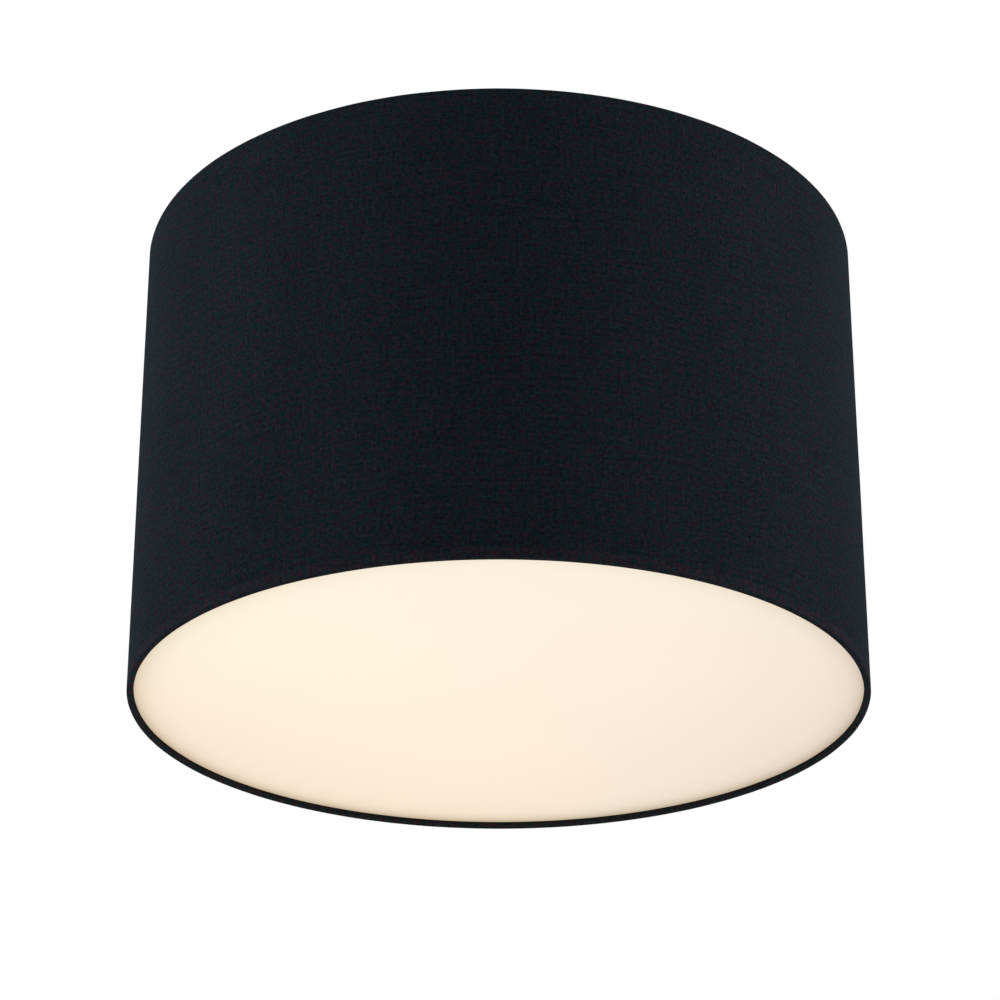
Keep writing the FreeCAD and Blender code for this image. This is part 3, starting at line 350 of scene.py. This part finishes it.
def arc(cx, cz, radius, start, end, steps):
    """Points on an arc in the (radius, z) plane, angles in degrees."""
    turns = [math.radians(start + (end - start) * i / steps) for i in range(steps + 1)]
    return [(cx + radius * math.cos(t), cz + radius * math.sin(t)) for t in turns]


def line(a, b, steps):
    """The points between two ends, without the ends."""
    return [(a[0] + (b[0] - a[0]) * i / steps, a[1] + (b[1] - a[1]) * i / steps) for i in range(1, steps)]


def drum_cloth(material):
    """The cloth as one thin closed sheet: rolled rim, wall, rounded top hem and its turned-in edge."""
    rim_r, rim_z = DRUM_R - ROLL_R, DRUM_LOW + ROLL_R
    seat = rim_z + ROLL_R
    wall_in, hem_r = DRUM_R - CLOTH, DRUM_R - HEM_IN
    bend = 0.9 * MM
    tuck_end = wall_in - 0.1 * MM

    outer_roll = arc(rim_r, rim_z, ROLL_R, 180, 360, 18)
    outer = outer_roll + line(outer_roll[-1], (DRUM_R, DRUM_TOP - bend), 18)
    top = arc(DRUM_R - bend, DRUM_TOP - bend, bend, 0, 90, 6)
    over = arc(hem_r + bend, DRUM_TOP - bend, bend, 90, 180, 6)
    tail = [(hem_r, DRUM_TOP - HEM_DEPTH), (hem_r + CLOTH, DRUM_TOP - HEM_DEPTH)]
    under = [
        (hem_r + CLOTH, DRUM_TOP - 2 * CLOTH), (hem_r + 2 * CLOTH, DRUM_TOP - CLOTH),
        (wall_in - CLOTH, DRUM_TOP - CLOTH), (wall_in, DRUM_TOP - 2 * CLOTH),
    ]
    inner_roll = arc(rim_r, rim_z, ROLL_HOLE, 360, 180, 12)
    inner = line(under[-1], inner_roll[0], 8) + inner_roll
    tuck = [
        (rim_r - ROLL_HOLE, seat - CLOTH), (tuck_end, seat - CLOTH), (tuck_end, seat),
        (rim_r - ROLL_R + CLOTH, seat), (rim_r - ROLL_R, seat - CLOTH),
    ]

    half_lap = LAP / 2 / DRUM_R
    ripple, top_ripple = 0.05 * MM, 0.08 * MM
    roll_top, top_start = DRUM_LOW + 3 * MM, DRUM_TOP - 2 * MM

    def uneven(angle, r, z):
        """The lap at the back, and slight waves in the wall, the roll and the top edge."""
        off = angle - math.pi / 2
        place = Vector((math.cos(angle) * 3, math.sin(angle) * 3, z * 14))
        wave = noise.noise(place * 2.2) * ripple
        if r > DRUM_R - ripple and -half_lap < off < half_lap:
            step = 0.9 if off > -half_lap * 0.94 else 0.45
            r += CLOTH * step * min(1.0, (half_lap - off) / (0.5 * half_lap))
        if z < roll_top:
            wave += noise.noise(Vector((angle * 22, z * 500, 1.7))) * ripple
        if z > top_start:
            z += noise.noise(Vector((angle * 9, 0.3, 4))) * top_ripple
        return r + wave, z

    return lathe("drum_cloth", outer + top + over + tail + under + inner + tuck, 600, material, uneven)


# ---------------------------------------------------------------- the pieces


def dress(name, material):
    for slot in nodes[name].material_slots:
        slot.material = material
    if not nodes[name].material_slots:
        nodes[name].data.materials.append(material)


def dress_everything():
    white = painted("white_powder_coat", (0.74, 0.74, 0.725), 0.38, 0.03)
    laminate = painted("white_laminate", (0.88, 0.87, 0.84), 0.5, 0.01)
    zinc = metal("bright_zinc", (0.66, 0.67, 0.69), 0.3)
    spring = metal("spring_steel", (0.42, 0.42, 0.43), 0.3)
    brass = metal("stamped_brass", (0.80, 0.60, 0.28), 0.3)
    nickel = metal("nickel_plate", (0.72, 0.70, 0.66), 0.2)
    tin = metal("tinned_copper", (0.74, 0.73, 0.70), 0.35)
    holder = painted("holder_moulding", (0.80, 0.79, 0.74), 0.35, 0.01)
    block = painted("terminal_moulding", (0.74, 0.74, 0.68), 0.25, 0.01, 0.2)
    collar = painted("bulb_moulding", (0.84, 0.84, 0.82), 0.3, 0.01)
    rubber = painted("grommet_rubber", (0.035, 0.035, 0.037), 0.7, 0.03)
    black = painted("black_insulator", (0.02, 0.02, 0.022), 0.2, 0.005)
    live = painted("brown_insulation", (0.20, 0.07, 0.03), 0.35, 0.004)
    neutral = painted("blue_insulation", (0.03, 0.13, 0.42), 0.35, 0.004)
    earth = painted("green_insulation", (0.25, 0.42, 0.04), 0.35, 0.004)
    lamp = lamp_material()
    single = {
        "ceiling_plate": white, "cable_grommet": rubber, "terminal_block": block, "terminal_screws": zinc,
        "block_screws": zinc, "earth_stud": zinc, "earth_lug": tin, "earth_washer": zinc, "earth_nut": zinc,
        "bracket_rivets": zinc, "holder_tubes": zinc, "holder_nuts": zinc, "earth_wire": earth,
        "shade_liner": laminate, "shade_carrier": white, "rim_wire": zinc, "opal_disc": glow_material(),
    }
    three_of_each = {
        "lamp_bracket": zinc, "lampholder": holder, "screw_shell": brass, "centre_contact": brass,
        "spring_clip": spring, "live_wire": live, "neutral_wire": neutral, "bulb_tip": tin,
        "bulb_insulator": black, "bulb_cap": nickel, "bulb_collar": collar, "bulb_globe": lamp,
    }
    for name, material in single.items():
        dress(name, material)
    for stem, material in three_of_each.items():
        for number in (1, 2, 3):
            dress(f"{stem}_{number}", material)


def threaded_cap(number, turn, material):
    """A bulb's screw cap with its rolled thread. Bulb 1's cap gives the size, and turn is the lamp's own."""
    low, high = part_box("bulb_cap_1")
    start, end, crest, level = low.y, high.y, high.x, (low.z + high.z) / 2
    out = Vector((math.cos(turn), math.sin(turn), 0))
    side = Vector((-math.sin(turn), math.cos(turn), 0))
    rows, around = 72, 72
    pitch, depth = 2.82 * MM, 0.7 * MM
    run_in, skirt_width = 2.0 * MM, 3.2 * MM
    tip_width, tip_depth = 0.6 * MM, 0.5 * MM
    verts, faces = [], []
    for i in range(rows + 1):
        away = start + (end - start) * i / rows
        thread = min(1.0, (away - start) / run_in)
        skirt = min(1.0, (end - away) / skirt_width)
        skirt = skirt * skirt * (3 - 2 * skirt)
        turned_in = tip_depth * max(0.0, 1 - (away - start) / tip_width) ** 2
        for j in range(around):
            angle = 2 * math.pi * j / around
            ridge = (0.5 + 0.5 * math.cos(2 * math.pi * away / pitch - angle)) * thread
            radius = crest - depth * (1 - ridge) * skirt - turned_in
            up = Vector((0, 0, level + radius * math.sin(angle)))
            verts.append(out * away + side * (radius * math.cos(angle)) + up)
    for i in range(rows):
        row, after = i * around, (i + 1) * around
        for j in range(around):
            k = (j + 1) % around
            faces.append((row + j, row + k, after + k, after + j))
    faces.append(tuple(range(around)))
    faces.append(tuple(reversed(range(rows * around, (rows + 1) * around))))
    cap = mesh_object(f"threaded_cap_{number}", verts, faces, material)
    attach(cap, f"bulb_{number}")
    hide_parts(f"bulb_cap_{number}")


def build_caps():
    nickel = bpy.data.materials["nickel_plate"]
    for number, turn in enumerate(LAMP_TURNS, 1):
        threaded_cap(number, turn, nickel)


def build_shade():
    cloth = drum_cloth(cloth_material())
    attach(cloth, "shade")
    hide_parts("shade_cloth")


# ---------------------------------------------------------------- stage, lamps and camera


def seen_directly(tree):
    """1 for rays from the camera, off gloss and through glass, and 0 for the rays that light the object."""
    path = tree.nodes.new("ShaderNodeLightPath")
    total = path.outputs["Is Camera Ray"]
    for name in ("Is Glossy Ray", "Is Transmission Ray"):
        add = tree.nodes.new("ShaderNodeMath")
        add.operation = "ADD"
        add.use_clamp = True
        tree.links.new(total, add.inputs[0])
        tree.links.new(path.outputs[name], add.inputs[1])
        total = add.outputs[0]
    return total


def white_world():
    """White for the camera, gloss and glass; a plain soft level of light for everything else."""
    world = bpy.data.worlds.new("studio")
    bpy.context.scene.world = world
    world.use_nodes = True
    tree = world.node_tree
    tree.nodes.clear()
    out = tree.nodes.new("ShaderNodeOutputWorld")
    mix = tree.nodes.new("ShaderNodeMixShader")
    tree.links.new(seen_directly(tree), mix.inputs[0])
    soft, white = ((0.93, 0.97, 1, 1), 0.2), ((1, 1, 1, 1), 1.0)
    for socket, (colour, strength) in zip(mix.inputs[1:3], (soft, white)):
        background = tree.nodes.new("ShaderNodeBackground")
        background.inputs[0].default_value = colour
        background.inputs[1].default_value = strength
        tree.links.new(background.outputs[0], socket)
    tree.links.new(mix.outputs[0], out.inputs[0])


def floor():
    """A pale floor a room's height below the ceiling.

    It takes the object's shadow, and glows just enough, more so further out, to look white.
    """
    half, level = 14.0, -2.4
    near, far, near_glow = 2.0, 9.0, 0.72
    corners = [(-half, -half, level), (half, -half, level), (half, half, level), (-half, half, level)]
    mesh = bpy.data.meshes.new("room_floor")
    mesh.from_pydata(corners, [], [(0, 1, 2, 3)])
    obj = new_object("room_floor", mesh)
    n = Nodes("floor_white")
    matt, glow, both = n.add("BsdfDiffuse"), n.add("Emission"), n.add("AddShader")
    matt.inputs[0].default_value = (0.8, 0.8, 0.8, 1)
    strength = n.ramp(n.from_axis(), near, far, near_glow, 1.0, True)
    n.link(n.math("MULTIPLY", seen_directly(n.tree), strength), glow.inputs[1])
    n.link(matt.outputs[0], both.inputs[0])
    n.link(glow.outputs[0], both.inputs[1])
    n.link(both.outputs[0], n.out.inputs["Surface"])
    mesh.materials.append(n.material)


def softbox(name, turn, rise, width, height, power, colour):
    """A soft light turned round the drum from the camera's side and raised above it, in degrees."""
    distance = 2.9
    light = bpy.data.lights.new(name, "AREA")
    light.shape = "RECTANGLE"
    light.size, light.size_y = width, height
    light.energy, light.color = power, colour
    obj = new_object(name, light)
    turn, rise = math.radians(turn), math.radians(rise)
    away = Vector((math.sin(turn) * math.cos(rise), -math.cos(turn) * math.cos(rise), math.sin(rise)))
    obj.location = Vector((0, 0, (DRUM_TOP + DRUM_LOW) / 2)) + away * distance
    obj.rotation_euler = (-away).to_track_quat("-Z", "Y").to_euler()


def studio():
    """A window and a weak back light on each side of the drum."""
    for name, side, tint in (("left", -1, (0.95, 0.985, 1.0)), ("right", 1, (0.985, 0.99, 1.0))):
        softbox(name + "_window", side * 78, 32, 2.1, 1.4, 76, tint)
        softbox(name + "_back_light", side * 118, 10, 3.0, 1.2, 3, tint)


def camera():
    """The photograph's viewpoint, found by fitting the drum's outline, 1.20 m in front of its axis."""
    aside, in_front, below_rim, pitch = 0.0005, 1.1983, 0.4658, 25.0
    data = bpy.data.cameras.new("camera")
    data.sensor_width, data.lens = 36, 114.04
    data.clip_start, data.clip_end = 0.05, 50
    obj = new_object("camera", data)
    obj.location = (aside, -in_front, DRUM_LOW - below_rim)
    obj.rotation_euler = (math.radians(90 + pitch), 0, 0)
    bpy.context.scene.camera = obj


camera()
dress_everything()
build_shade()
build_caps()
white_world()
floor()
studio()
bpy.context.scene.view_settings.view_transform = "Standard"
